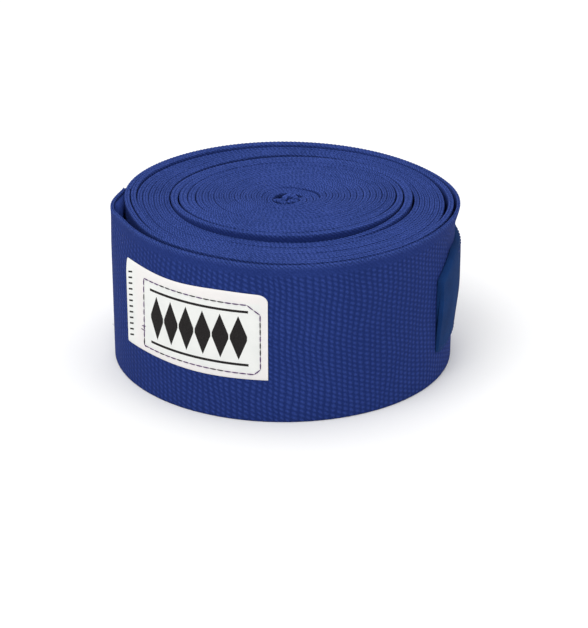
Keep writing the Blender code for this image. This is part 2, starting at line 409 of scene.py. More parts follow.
@dataclass(frozen=True)
class Winding:
    """Path of the strip round the roll.

    Attributes:
        axis: Plan position of the winding axis.
        outer_radius: Mid-thickness radius at the free end.
        free_end: Bearing of the free end.
        knots: Turns and radius in millimetres at the ends of each evenly wound stretch.
        shifts: Turns, then the windings' place towards +X and +Y in millimetres.
        spring: How far the outer end stands off the roll on the left.
        pressed_end: How far its free end is pressed in again.
        curl: How far its top edge leans inwards.
        dents: Depth in millimetres, bearing and width of the dents in the rim.
        crevice: Extra gap between the rim and the band.
        thickest: Greatest half thickness of the cloth, between pressed windings.
        thinnest: Half thickness of the outer end, which lies free.
        outer_turn: Half thickness of the first turn under it.
    """

    axis: tuple[float, float] = (-0.917 * MM, 0.845 * MM)
    outer_radius: float = 53.3 * MM
    free_end: float = -101.0
    knots: tuple[tuple[float, float], ...] = (
        (0.0, 53.30), (8.10, 38.72), (8.50, 37.30), (10.30, 32.60), (24.30, 7.20), (25.60, 4.60),
    )
    shifts: tuple[tuple[float, float, float], ...] = (
        (1.0, 0.0, 0.0), (8.10, 1.6, 4.2), (8.50, 1.4, 2.8), (9.60, 1.4, 2.8),
        (12.0, 2.5, 3.7), (15.0, 2.5, 3.7), (25.6, 1.0, 1.4),
    )
    spring: float = 0.7 * MM
    pressed_end: float = 1.7 * MM
    curl: float = 1.1 * MM
    dents: tuple[tuple[float, float, float], ...] = ((3.3, -75.0, 26.0), (2.5, -30.0, 26.0))
    crevice: float = 0.15 * MM
    thickest: float = 1.50 * MM
    thinnest: float = 0.52 * MM
    outer_turn: float = 0.86 * MM

    def bearing(self, turns: Array) -> Array:
        """Bearing in degrees."""
        return self.free_end + 360.0 * turns

    def around(self, turns: Array) -> Array:
        """Bearing in degrees, from -180 to 180."""
        return (self.bearing(turns) + 180.0) % 360.0 - 180.0

    def turns_at(self, bearing: Array | float) -> Array:
        """Turns at a bearing on the outermost winding."""
        return (np.asarray(bearing, float) - self.free_end) / 360.0

    def radius(self, turns: Array, across: Array) -> Array:
        """Radius of the strip's middle layer.

        Straight lines between the knots, with the outer end's spring, its
        pressed-in free end, inward curl and kink, the dents, the crevice, the
        flare above the pile patch and the small wander that neighbouring
        turns share.

        Args:
            turns: Turns in from the free end.
            across: Height as a share of the strip's width, 0 to 1.

        Returns:
            Radius in metres.
        """
        bearing = self.bearing(turns)
        around = self.around(turns)
        places, radii = zip(*self.knots)
        radius = np.interp(turns, places, radii) * MM
        lean = smooth(across, 0.72, 1.0)
        loose = self.spring * bell(bearing, -84.0, 26.0) * (1.0 - lean)
        pressed = self.pressed_end * (1.0 - smooth(bearing, self.free_end, -86.0)) ** 1.3
        curled = self.curl * lean * smooth(bearing, -81.0, -69.0) * (1.0 - smooth(bearing, -30.0, 2.0))
        kink = 0.5 * MM * bell(bearing, -83.0, 6.0) * lean
        outer = 1.0 - smooth(turns, 0.40, 0.45)
        radius = radius + (loose + kink - pressed - curled) * outer
        inner = smooth(turns, 0.5, 0.8) * (1.0 - np.clip((turns - 2.0) / 7.0, 0.0, 1.0))
        for depth, middle, width in self.dents:
            radius = radius - depth * MM * bell(around, middle, width) * inner
        crevice = smooth(turns, 2.2, 2.5) * (1.0 - smooth(turns, 3.1, 8.0))
        radius = radius - self.crevice * crevice * (1.0 - bell(around, -10.0, 55.0))
        flare = bell(around, 92.0, 24.0) * (1.0 - smooth(turns, 0.75, 2.6))
        lip = 1.7 * smooth(across, 0.86, 1.0) - 0.9 * bell(across, 0.83, 0.05)
        radius = radius + flare * lip * MM
        wander = 0.10 * np.sin(np.radians(3.0 * bearing) + 0.7 * turns)
        wander = wander + 0.07 * np.sin(np.radians(5.0 * bearing) - 0.9 * turns)
        return radius + wander * MM * smooth(turns, 0.5, 2.0)

    def shift(self, turns: Array) -> tuple[Array, Array]:
        """How far the windings sit towards +X and +Y, on straight lines between places."""
        places, east, north = zip(*self.shifts)
        return np.interp(turns, places, east) * MM, np.interp(turns, places, north) * MM

    def room(self, turns: Array) -> Array:
        """Half thickness of the cloth: just under half the distance to the nearest turn beside it.

        The distance, measured near the top edge, is the difference in radius
        plus the difference in shift along the bearing.
        """
        angle = np.radians(self.bearing(turns))
        top = np.full(np.shape(turns), 0.97)

        def reach(places: Array) -> Array:
            """Distance of a winding from the axis along the bearing."""
            east, north = self.shift(places)
            return self.radius(places, top) + east * np.sin(angle) - north * np.cos(angle)

        outward = np.where(turns < 1.0, 1.0, reach(np.maximum(turns - 1.0, 0.0)) - reach(turns))
        inward = np.where(turns > self.knots[-1][0] - 1.0, 1.0, reach(turns) - reach(turns + 1.0))
        free = self.thinnest + (self.outer_turn - self.thinnest) * smooth(turns, 0.62, 0.92)
        free = free + (self.thickest - self.outer_turn) * smooth(turns, 2.0, 2.5)
        return np.minimum(0.49 * np.minimum(outward, inward), free)

    def point(self, turns: Array, radial: Array, height: Array, across: Array) -> Array:
        """Points on the strip.

        Args:
            turns: Turns in from the free end.
            radial: Distance out from the middle layer.
            height: Height above the floor.
            across: Height as a share of the strip's width.

        Returns:
            Array of points with x, y and z last.
        """
        angle = np.radians(self.bearing(turns))
        radius = self.radius(turns, across) + radial
        east, north = self.shift(turns)
        spots = np.broadcast_arrays(
            self.axis[0] + east + radius * np.sin(angle),
            self.axis[1] + north - radius * np.cos(angle),
            height,
        )
        return np.stack(spots, axis=-1)


@dataclass
class Cloth:
    """Arrays of one closed grid, before it becomes a mesh.

    Attributes:
        points: Points as rows of rings, with x, y and z last.
        weave: Length along and height across at each point, in millimetres.
        values: Named numbers at each point.
    """

    points: Array
    weave: Array
    values: dict[str, Array] = field(default_factory=dict)

    @staticmethod
    def plain(points: Array) -> "Cloth":
        """Grid of a thread, which needs no map."""
        return Cloth(points, np.zeros((*points.shape[:2], 2)))

    @staticmethod
    def mapped(points: Array, along: Array, across: Array, **values: Array) -> "Cloth":
        """Grid with its map and named numbers, each stretched to the grid's shape.

        Args:
            points: Points as rows of rings.
            along: Length along the strip, in millimetres.
            across: Height across it, in millimetres.
            **values: Named numbers.

        Returns:
            The grid.
        """
        shape = points.shape[:2]
        weave = np.stack([np.broadcast_to(along, shape), np.broadcast_to(across, shape)], axis=-1)
        return Cloth(points, weave, {key: np.broadcast_to(value, shape) for key, value in values.items()})


class MeshMaker:
    """Turns grids into finished pieces."""

    @staticmethod
    def tubes(name: str, cloths: list[Cloth], finish: bpy.types.Material) -> bpy.types.Object:
        """Closed solids from grids of one size, as one piece.

        Each quad joins a ring of points to the next, and one polygon caps
        each end.

        Args:
            name: Name of the piece.
            cloths: Grids, one ring of points a row.
            finish: Material.

        Returns:
            The new object.
        """
        points = np.stack([cloth.points for cloth in cloths])
        many, rings, count = points.shape[:3]
        ring = np.arange(rings - 1)[:, None] * count
        corner = np.arange(count)[None, :]
        after = (corner + 1) % count
        quads = np.stack(
            [ring + corner, ring + after, ring + count + after, ring + count + corner], axis=-1
        ).reshape(-1, 4)
        step = (np.arange(many) * rings * count)[:, None]
        sides = (quads[None] + step[..., None]).reshape(-1)
        first = (corner[:, ::-1] + step).reshape(-1)
        last = ((rings - 1) * count + corner + step).reshape(-1)
        loops = np.concatenate([sides, first, last])
        totals = np.concatenate([np.full(many * len(quads), 4), np.full(2 * many, count)])
        starts = np.concatenate([[0], np.cumsum(totals)[:-1]])
        mesh = MeshMaker.fill(name, points.reshape(-1, 3), loops, starts, totals)
        MeshMaker.face_out(mesh)
        MeshMaker.map_weave(mesh, cloths)
        return MeshMaker.piece(name, mesh, finish)

    @staticmethod
    def tube(name: str, cloth: Cloth, finish: bpy.types.Material) -> bpy.types.Object:
        """Closed solid from one grid."""
        return MeshMaker.tubes(name, [cloth], finish)

    @staticmethod
    def fill(name: str, points: Array, loops: Array, starts: Array, totals: Array) -> bpy.types.Mesh:
        """Put points and faces into a new mesh as whole arrays."""
        mesh = bpy.data.meshes.new(name)
        mesh.vertices.add(len(points))
        mesh.vertices.foreach_set("co", np.ascontiguousarray(points, np.float32).ravel())
        mesh.loops.add(len(loops))
        mesh.loops.foreach_set("vertex_index", np.ascontiguousarray(loops, np.int32))
        mesh.polygons.add(len(starts))
        mesh.polygons.foreach_set("loop_start", np.ascontiguousarray(starts, np.int32))
        mesh.polygons.foreach_set("loop_total", np.ascontiguousarray(totals, np.int32))
        mesh.update(calc_edges=True)
        mesh.validate()
        return mesh

    @staticmethod
    def face_out(mesh: bpy.types.Mesh) -> None:
        """Turn every face round where the closed mesh's volume is negative.

        The volume is the sum over faces of centre . normal times area / 3.
        """
        count = len(mesh.polygons)
        centre = np.empty(count * 3)
        normal = np.empty(count * 3)
        area = np.empty(count)
        mesh.polygons.foreach_get("center", centre)
        mesh.polygons.foreach_get("normal", normal)
        mesh.polygons.foreach_get("area", area)
        volume = float(((centre * normal).reshape(-1, 3).sum(axis=1) * area).sum())
        if volume < 0.0:
            mesh.flip_normals()

    @staticmethod
    def map_weave(mesh: bpy.types.Mesh, cloths: list[Cloth]) -> None:
        """Store the weave map and the named numbers."""
        corners = np.empty(len(mesh.loops), np.int32)
        mesh.loops.foreach_get("vertex_index", corners)
        layer = mesh.uv_layers.new(name="weave")
        weave = np.concatenate([cloth.weave.reshape(-1, 2) for cloth in cloths])[corners]
        layer.data.foreach_set("uv", np.ascontiguousarray(weave, np.float32).ravel())
        for key in cloths[0].values:
            store = mesh.attributes.new(key, "FLOAT", "POINT")
            values = np.concatenate([cloth.values[key].ravel() for cloth in cloths])
            store.data.foreach_set("value", np.ascontiguousarray(values, np.float32))

    @staticmethod
    def piece(name: str, mesh: bpy.types.Mesh, finish: bpy.types.Material) -> bpy.types.Object:
        """Dress a mesh and put it in the scene."""
        mesh.materials.append(finish)
        mesh.polygons.foreach_set("use_smooth", np.ones(len(mesh.polygons), bool))
        mesh.set_sharp_from_angle(angle=math.radians(62.0))
        made = bpy.data.objects.new(name, mesh)
        bpy.context.scene.collection.objects.link(made)
        LOG.info("%s: %d faces", name, len(mesh.polygons))
        return made


# ---------------------------------------------------------------- the strip


@dataclass(frozen=True)
class Section:
    """Outline of the strip's cross section, once round from the floor up the outer face.

    Attributes:
        share: Height of each point as a share of the strip's width.
        rise: Height added to that, in metres.
        out: Distance out from the middle layer, as a share of half the thickness.
        edge: 1 on the thick woven edges, 0 on the faces.
        crest: 1 on the outer edge yarn, -1 on the inner one, 0 elsewhere.
    """

    share: Array
    rise: Array
    out: Array
    edge: Array
    crest: Array

    @staticmethod
    def of(rows: int) -> "Section":
        """Outline with a round cord along the top and a plain foot.

        Args:
            rows: Points added up the outer face, where it shows.

        Returns:
            The outline.
        """
        head = np.array([
            (-1.75, 0.90, 0, 0), (-1.15, 0.96, 0.3, 0.4), (-0.42, 1.0, 1, 0.9), (-0.12, 0.84, 1, 1),
            (0.0, 0.52, 1, 0.6), (-0.10, 0.18, 1, 0.2), (-0.34, 0.0, 0.85, 0), (-0.10, -0.18, 1, -0.2),
            (0.0, -0.52, 1, -0.6), (-0.12, -0.84, 1, -1), (-0.42, -1.0, 1, -0.9),
            (-1.15, -0.96, 0.3, -0.4), (-1.75, -0.90, 0, 0),
        ])
        outer_foot = np.array([(0.05, 0.45, 0, 0), (0.35, 0.80, 0, 0), (1.4, 0.84, 0, 0)])
        inner_foot = outer_foot[::-1] * np.array([1.0, -1.0, 1.0, 1.0])
        face = np.linspace(0.0, 1.0, rows + 2)[1:-1]
        flank = np.stack([1.4 - 3.15 * face, np.full(rows, 0.84), np.zeros(rows), np.zeros(rows)], axis=-1)
        rest = np.concatenate([outer_foot, flank, head, inner_foot])
        share = np.concatenate([np.zeros(3), face, np.ones(len(head)), np.zeros(3)])
        rise = rest[:, 0]
        return Section(share, rise * MM, rest[:, 1], rest[:, 2], rest[:, 3])


@dataclass(frozen=True)
class Heights:
    """Lower and upper edge of the strip everywhere on its path, in millimetres.

    Attributes:
        rim: Upper edge in the rim.
        band: Upper edge in the flat band.
        ring: Upper edge of the ring's plane over the origin.
        disc: Upper edge of the disc's plane over the origin.
        ring_slope: Rise of the ring's plane towards +X and +Y.
        disc_slope: Rise of the disc's plane towards +X and +Y.
    """

    rim: float = 50.8
    band: float = 50.0
    ring: float = 51.3
    disc: float = 51.27
    ring_slope: tuple[float, float] = (0.011, -0.034)
    disc_slope: tuple[float, float] = (0.015, -0.0386)

    def upper(self, path: Winding, turns: Array) -> Array:
        """Upper edge in metres.

        Each group of windings has its own surface: the rim level, the band
        almost level with a small step between turns, the ring raised most in
        front, and the disc a tilted plane with a dip at the core. Smooth
        steps lead from one to the next, and the rim rises a little at its
        dent.

        Args:
            path: Path of the strip.
            turns: Turns in from the free end.

        Returns:
            Height of the upper edge.
        """
        angle = np.radians(path.bearing(turns))
        around = path.around(turns)
        none = np.zeros(np.shape(turns))
        spot = path.point(turns, none, none, none + 0.9) / MM
        east, north = spot[..., 0], spot[..., 1]
        jitter = 0.09 * np.sin(turns * 9.7 + 0.6 * np.sin(angle)) + 0.06 * np.sin(turns * 23.9 + angle)
        rim = self.rim + 0.22 * np.sin(2.0 * angle + 0.6) * smooth(turns, 0.3, 0.8)
        band = self.band + jitter + 0.15 * np.cos(angle)
        ring = self.ring + self.ring_slope[0] * east + self.ring_slope[1] * north
        ring = ring + 0.25 * bell(around, -42.0, 28.0) + 0.20 * bell(around, 48.0, 26.0)
        disc = self.disc + self.disc_slope[0] * east + self.disc_slope[1] * north + 0.8 * jitter
        core = self.disc - 0.9 + 0.25 * np.sin(angle * 2.0)
        upper = rim + (band - rim) * smooth(turns, 2.05, 2.35)
        upper = upper + (ring - upper) * smooth(turns, 8.28, 8.60)
        upper = upper + (disc - upper) * smooth(turns, 10.15, 10.45)
        upper = upper + (core - upper) * smooth(turns, 22.3, 24.0)
        raised = 0.4 * bell(around, -50.0, 30.0) * (1.0 - smooth(turns, 1.8, 2.3))
        return (upper + raised) * MM

    def lower(self, path: Winding, turns: Array) -> Array:
        """Lower edge in metres: a fixed width below the upper one, but never under the floor."""
        width = 50.8 - 0.8 * smooth(turns, 2.05, 2.35) - 0.4 * smooth(turns, 10.15, 10.45)
        lift = self.upper(path, turns) / MM - width
        return np.maximum(lift, 0.0) * smooth(turns, 8.2, 8.5) * MM + 0.03 * MM


@dataclass
class Strip:
    """Maker of lengths of the woven strip.

    Attributes:
        path: Where the strip runs.
        heights: How high its edges stand.
        station: Distance between cross sections.
        knot: Length of one stitch of the edge yarn.
    """

    path: Winding = field(default_factory=Winding)
    heights: Heights = field(default_factory=Heights)
    station: float = 0.34 * MM
    knot: float = 1.35 * MM

    def run(self, turns: Array) -> Array:
        """Length of strip from the free end to each place, from the mean radius."""
        grid = np.linspace(0.0, 26.0, 12001)
        rate = 2.0 * math.pi * self.path.radius(grid, np.full(grid.shape, 0.5))
        total = np.concatenate([[0.0], np.cumsum((rate[1:] + rate[:-1]) / 2.0 * np.diff(grid))])
        return np.interp(turns, grid, total)

    def places(self, first: float, last: float) -> Array:
        """Evenly spaced places on the strip, worked out by inverting its length."""
        grid = np.linspace(first, last, 6001)
        run = self.run(grid)
        count = max(4, int(round((run[-1] - run[0]) / self.station)))
        return np.interp(np.linspace(run[0], run[-1], count + 1), run, grid)

    def cloth(self, first: float, last: float, rows: int) -> Cloth:
        """Grid of one length of the strip.

        The outline is carried along the path, as thick as there is room for.
        Its edge is a slanted cord: waves as long as a knot, delayed across it.

        Args:
            first: Turns at the outer end.
            last: Turns at the inner end.
            rows: Points up the outer face.

        Returns:
            The grid.
        """
        outline = Section.of(rows)
        turns = self.places(first, last)[:, None]
        run = self.run(turns)
        upper = self.heights.upper(self.path, turns)
        lower = self.heights.lower(self.path, turns)
        share = outline.share[None, :]
        phase = 2.0 * math.pi * run / self.knot + outline.crest[None, :] * 2.2
        rise = outline.rise[None, :] + 0.075 * MM * np.sin(phase) * outline.edge[None, :]
        out = outline.out[None, :] * self.path.room(turns)
        out = out + 0.05 * MM * np.cos(phase) * outline.crest[None, :]
        height = lower * (1.0 - share) + upper * share + rise
        across = np.clip((height - lower) / (upper - lower), 0.0, 1.0)
        points = self.path.point(turns, out, height, across)
        steps = np.linalg.norm(
            np.stack([np.diff(outline.out * MM), np.diff(outline.share * 50.0 * MM + outline.rise)]), axis=0
        )
        girth = np.concatenate([[0.0], np.cumsum(steps)])
        return Cloth.mapped(points, run / MM, girth[None, :] / MM, edge=outline.edge[None, :])

    def length(self, name: str, first: float, last: float, finish: bpy.types.Material,
               rows: int = 0) -> bpy.types.Object:
        """Make one length of the strip as a closed piece."""
        return MeshMaker.tube(name, self.cloth(first, last, rows), finish)

    def declare(self, piece: bpy.types.Object, first: float, last: float) -> None:
        """Work out the flat length of a piece; nothing is done with it."""
        flat = float(self.run(np.array(last)) - self.run(np.array(first)))

    def middle(self, turns: float, radial: float = 0.0) -> Vector:
        """Point at half height on the strip."""
        half = np.array(STRIP_WIDTH / 2.0)
        return Vector(self.path.point(np.array(turns), np.array(radial), half, np.array(0.5)))


class Group(Enum):
    """Bodies of the roll, from the outside in, with the turns where each ends."""

    RIM = ("roll", 143.0 / 360.0, 2.05)
    BAND = ("band", 2.05, 8.45)
    RING = ("ring", 8.45, 10.30)
    DISC = ("disc", 10.30, 24.10)
    CORE = ("core", 24.10, 25.60)

    @property
    def body(self) -> str:
        """Name of the CAD body."""
        return self.value[0]


def dress(piece: bpy.types.Object, body: str, node: str = "") -> None:
    """Give a piece its body, and hide the CAD node it stands for, if any."""
    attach(piece, body)
    if node:
        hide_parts(node)


@dataclass
class Roll:
    """The five groups of windings and the lengths that join them.

    Attributes:
        strip: Maker of the strip.
        wardrobe: Materials.
        reach: Half the length of a joining length, in turns.
        cuts: Turns where long groups are cut into shorter pieces.
    """

    strip: Strip
    wardrobe: Wardrobe
    reach: float = 0.12
    cuts: tuple[float, float, float, float] = (1.08, 5.25, 14.90, 19.50)

    def solid(self, name: str, group: Group, first: float, last: float, node: str = "",
              rows: int = 0) -> None:
        """One length that moves with its body."""
        piece = self.strip.length(name, first, last, self.wardrobe.woven, rows)
        dress(piece, group.body, node)
        self.strip.declare(piece, first, last)

    def joining(self, name: str, inner: Group) -> None:
        """The length that leads from one group into the next, fixed in place and tied to neither body."""
        seam = inner.value[1]
        first, last = seam - self.reach, seam + self.reach
        piece = self.strip.length(name, first, last, self.wardrobe.woven)
        self.strip.middle(first)
        self.strip.middle(last)
        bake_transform(piece)
        self.strip.declare(piece, first, last)

    def build(self) -> None:
        """Make every winding."""
        rim, band, ring = Group.RIM.value, Group.BAND.value, Group.RING.value
        disc, core = Group.DISC.value, Group.CORE.value
        reach = self.reach
        rim_cut, band_cut, disc_cut, inner_cut = self.cuts
        self.solid("rim_winding", Group.RIM, rim[1] + BEND, rim_cut, "rim_turns", rows=22)
        self.solid("rim_inner_winding", Group.RIM, rim_cut, rim[2] - reach, rows=6)
        self.joining("rim_to_band", Group.BAND)
        self.solid("band_outer_windings", Group.BAND, band[1] + reach, band_cut, "band_outer_turns")
        self.solid("band_inner_windings", Group.BAND, band_cut, band[2] - reach, "band_inner_turns")
        self.joining("band_to_ring", Group.RING)
        self.solid("ring_windings", Group.RING, ring[1] + reach, ring[2] - reach, "ring_turns", rows=6)
        self.joining("ring_to_disc", Group.DISC)
        self.solid("disc_outer_windings", Group.DISC, disc[1] + reach, disc_cut, "disc_outer_turns")
        self.solid("disc_middle_windings", Group.DISC, disc_cut, inner_cut, "disc_middle_turns")
        self.solid("disc_inner_windings", Group.DISC, inner_cut, disc[2] - reach, "disc_inner_turns")
        self.joining("disc_to_core", Group.CORE)
        self.solid("core_windings", Group.CORE, core[1] + reach, core[2], "centre_turns")


@dataclass
class OuterEnd:
    """The strip's outer end: tail, tab and free end, with the bends between.

    Attributes:
        strip: Maker of the strip.
        wardrobe: Materials.
        rows: Points up the outer face.
        face: Distance of the strip's outer face from its middle layer.
        cuts: Turns at the middle of each bend.
    """

    strip: Strip
    wardrobe: Wardrobe
    rows: int = 26
    face: float = 0.6 * MM
    cuts: tuple[float, float, float] = (33.0 / 360.0, 104.0 / 360.0, 143.0 / 360.0)

    def flat(self, name: str, body: str, node: str, first: float, last: float) -> None:
        """One stiff length of the outer end."""
        piece = self.strip.length(name, first, last, self.wardrobe.woven, self.rows)
        dress(piece, body, node)
        self.strip.declare(piece, first, last)

    def turn(self, name: str, cut: float) -> None:
        """One bend, from the body nearer the roll to the one nearer the free end, fixed in place and tied to
        neither body.
        """
        first, last = cut - BEND, cut + BEND
        piece = self.strip.length(name, first, last, self.wardrobe.woven, self.rows)
        start, end = self.strip.middle(last, self.face), self.strip.middle(first, self.face)
        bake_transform(piece)
        self.strip.declare(piece, first, last)

    def build(self) -> None:
        """Make the outer end."""
        near, front, peel = self.cuts
        self.flat("free_end", "end_flap", "end_strip", 0.0, near - BEND)
        self.turn("end_bend", near)
        self.flat("label_tab", "tab", "tab_strip", near + BEND, front - BEND)
        self.turn("tab_bend", front)
        self.flat("tail", "tail", "tail_strip", front + BEND, peel - BEND)
        self.turn("tail_bend", peel)


# ---------------------------------------------------------------- sewn pieces


@dataclass
class Pads:
    """Maker of pieces that lie on the strip's outer or inner face.

    Attributes:
        path: Where the strip runs.
    """

    path: Winding

    def pad(self, bearings: Array, foot: Array, head: Array, base: float, thick: Array,
            rows: int = 9, side: int = 1, brow: float = 6.0) -> Cloth:
        """Closed pad over the strip.

        A section stands at each bearing, from its foot to its head. Its outer
        face is rounded as (1 - |v|^brow)^(1 / 3), with v from -1 to 1 across.

        Args:
            bearings: Where the sections stand.
            foot: Height of the lower outline at each section.
            head: Height of the upper outline at each section.
            base: Distance of the inner face from the strip's middle layer.
            thick: Thickness at each section.
            rows: Points across each face.
            side: 1 for the strip's outer face, -1 for its inner one.
            brow: Squareness of the rounded face.

        Returns:
            The grid.
        """
        v = np.linspace(-1.0, 1.0, rows)
        v = np.sign(v) * np.abs(v) ** 0.75
        round_off = 0.30 + 0.70 * np.cbrt(np.clip(1.0 - np.abs(v) ** brow, 0.0, 1.0))
        over = np.concatenate([v, v[::-1]])
        lift = np.concatenate([round_off, np.zeros(rows)])
        middle = ((foot + head) / 2.0)[:, None]
        half = ((head - foot) / 2.0)[:, None]
        height = middle + half * over[None, :]
        radial = side * (base + thick[:, None] * lift[None, :])
        across = height / STRIP_WIDTH
        turns = self.path.turns_at(bearings)[:, None]
        points = self.path.point(turns, radial, height, across)
        along = np.radians(bearings)[:, None] * self.path.outer_radius / MM
        return Cloth.mapped(points, along, height / MM)

    def stitch(self, start: tuple[float, float], end: tuple[float, float], base: float,
               thread: float = 0.34 * MM, side: int = 1) -> Cloth:
        """One stitch: a thread that dives into the cloth at both ends.

        Six-sided sections run along it; its height follows sin(pi s)^0.5 and
        its girth the same curve.

        Args:
            start: Bearing and height of one end.
            end: Bearing and height of the other.
            base: Distance from the strip's middle layer.
            thread: Thickness of the thread.
            side: 1 for the outer face, -1 for the inner one.

        Returns:
            The grid.
        """
        s = np.linspace(0.02, 0.98, 6)[:, None]
        arch = np.sqrt(np.sin(math.pi * s))
        bearing = start[0] + (end[0] - start[0]) * s
        height = start[1] + (end[1] - start[1]) * s
        run = math.radians(end[0] - start[0]) * self.path.outer_radius
        rise = end[1] - start[1]
        size = math.hypot(run, rise)
        angle = np.linspace(0.0, 2.0 * math.pi, 6, endpoint=False)[None, :]
        girth = thread / 2.0 * (0.35 + 0.65 * arch)
        sideways = girth * np.cos(angle)
        upward = girth * np.sin(angle)
        spread = np.degrees(-rise / size * sideways / self.path.outer_radius)
        tall = height + run / size * sideways
        radial = side * (base + thread * 0.35 * (arch - 0.5) + upward)
        points = self.path.point(self.path.turns_at(bearing + spread), radial, tall, tall / STRIP_WIDTH)
        return Cloth.plain(points)


@dataclass
class Label:
    """White satin label with a stitched frame and plain woven marks.

    Attributes:
        pads: Maker of pads.
        wardrobe: Materials.
        arc: Bearings of its ends.
        heights: Its lower and upper edge.
        base: Distance of its inner face from the strip's middle layer.
        thick: Its thickness.
        seam_arc: Bearings of the stitched frame's ends.
        seam_heights: The frame's lower and upper edge.
        stitch: Length of one stitch of the frame.
        strays: Ends of the loose stitches, as bearing and height in millimetres.
    """

    pads: Pads
    wardrobe: Wardrobe
    arc: tuple[float, float] = (-62.2, -5.2)
    heights: tuple[float, float] = (14.0 * MM, 41.5 * MM)
    base: float = 0.58 * MM
    thick: float = 0.30 * MM
    seam_arc: tuple[float, float] = (-51.9, -7.6)
    seam_heights: tuple[float, float] = (16.3 * MM, 38.6 * MM)
    stitch: float = 2.35 * MM
    strays: tuple[tuple[tuple[float, float], tuple[float, float]], ...] = (
        ((-53.2, 22.4), (-50.9, 22.9)), ((-53.6, 21.4), (-51.2, 21.2)), ((-52.3, 17.6), (-51.4, 15.8)),
    )

    def edges(self, bearings: Array) -> tuple[Array, Array]:
        """Lower and upper outline, with one rounded corner and a slight sag."""
        share = (bearings - self.arc[0]) / (self.arc[1] - self.arc[0])
        foot = self.heights[0] + 0.35 * MM * np.sin(share * 7.0) * (1.0 - share)
        head = self.heights[1] + 0.25 * MM * np.sin(share * 9.0 + 1.0)
        corner = np.clip((share - 0.94) / 0.06, 0.0, 1.0)
        head = head - 2.3 * MM * (1.0 - np.sqrt(1.0 - corner**2 * 0.98))
        return foot, head

    def cloth(self) -> bpy.types.Object:
        """The label itself."""
        bearings = np.linspace(*self.arc, 150)
        foot, head = self.edges(bearings)
        grid = self.pads.pad(
            bearings, foot, head, self.base, np.full(bearings.shape, self.thick), rows=41, brow=40.0
        )
        height = grid.weave[..., 1] * MM
        where = np.broadcast_to(bearings[:, None], height.shape)
        inside = (
            smooth(where, self.seam_arc[0] - 0.6, self.seam_arc[0] + 0.6)
            * (1.0 - smooth(where, self.seam_arc[1] - 0.6, self.seam_arc[1] + 0.6))
            * smooth(height, self.seam_heights[0] - 0.5 * MM, self.seam_heights[0] + 0.5 * MM)
            * (1.0 - smooth(height, self.seam_heights[1] - 0.5 * MM, self.seam_heights[1] + 0.5 * MM))
        )
        beside = smooth(where, self.seam_arc[0] - 7.0, self.seam_arc[0] - 2.0)
        grid.values["border"] = (1.0 - inside) * beside
        return MeshMaker.tube("label", grid, self.wardrobe.satin)

    def outline(self) -> list[tuple[float, float]]:
        """Corners of the stitched frame, the upper right one cut off and the lower right rounded."""
        left, right = self.seam_arc
        low, high = self.seam_heights
        return [
            (left, low), (right - 2.0, low - 0.5 * MM), (right, low + 1.2 * MM),
            (right, high - 3.4 * MM), (right - 4.2, high - 0.5 * MM), (left + 0.6, high),
        ]

    def frame(self) -> list[bpy.types.Object]:
        """Stitches of the frame, most of them purple and a few black."""
        corners = self.outline()
        face = self.base + self.thick
        radius = self.pads.path.outer_radius
        purple: list[Cloth] = []
        black: list[Cloth] = []
        rng = np.random.default_rng(7)
        for index, corner in enumerate(corners):
            after = corners[(index + 1) % len(corners)]
            run = math.radians(after[0] - corner[0]) * radius
            size = math.hypot(run, after[1] - corner[1])
            count = max(1, round(size / self.stitch))
            for step in range(count):
                low, high = (step + 0.01) / count, (step + 0.99) / count
                ends = [
                    (corner[0] + (after[0] - corner[0]) * share, corner[1] + (after[1] - corner[1]) * share)
                    for share in (low, high)
                ]
                chosen = black if rng.random() < 0.28 else purple
                chosen.append(self.pads.stitch(*ends, face, 0.36 * MM))
        for start, end in self.strays:
            ends = [(bearing, height * MM) for bearing, height in (start, end)]
            purple.append(self.pads.stitch(*ends, face, 0.26 * MM))
        return [
            MeshMaker.tubes("label_stitching", purple, self.wardrobe.thread),
            MeshMaker.tubes("label_stitching_black", black, self.wardrobe.black_thread),
        ]

    def mark(self, bearings: Array, low: Array, high: Array) -> Cloth:
        """One flat mark woven into the label."""
        return self.pads.pad(
            bearings, low, high, self.base + self.thick * 0.98,
            np.full(bearings.shape, 0.06 * MM), rows=7, brow=60.0,
        )

    def lozenge(self, middle: float, width: float, low: float, high: float) -> Cloth:
        """One upright lozenge, cut off flat at its points."""
        bearings = np.linspace(middle - width / 2.0, middle + width / 2.0, 15)
        share = 1.0 - np.abs(bearings - middle) / (width / 2.0)
        half = (high - low) / 2.0 * (0.10 + 0.90 * share)
        centre = (low + high) / 2.0
        return self.mark(bearings, centre - half, centre + half)

    def bar(self, left: float, right: float, low: float, high: float, lean: float = 0.0) -> Cloth:
        """One straight bar, leaning by so many metres of height."""
        bearings = np.linspace(left, right, 15)
        tilt = lean * (bearings - left) / (right - left)
        return self.mark(bearings, low + tilt, high + tilt)

    def marks(self) -> bpy.types.Object:
        """Plain woven marks: a row of lozenges between two bars, and ticks beside the frame."""
        marks = [
            self.lozenge(middle, 5.6, 20.2 * MM, 34.4 * MM)
            for middle in np.linspace(-45.2, -14.6, 6)
        ]
        marks += [
            self.bar(-48.2, -11.4, 18.3 * MM, 19.1 * MM),
            self.bar(-48.2, -11.4, 35.5 * MM, 36.3 * MM),
        ]
        for index in range(12):
            low = (16.6 + 1.9 * index) * MM
            marks.append(self.bar(-60.6, -58.2, low, low + 0.55 * MM, 0.7 * MM))
        return MeshMaker.tubes("label_marks", marks, self.wardrobe.ink)

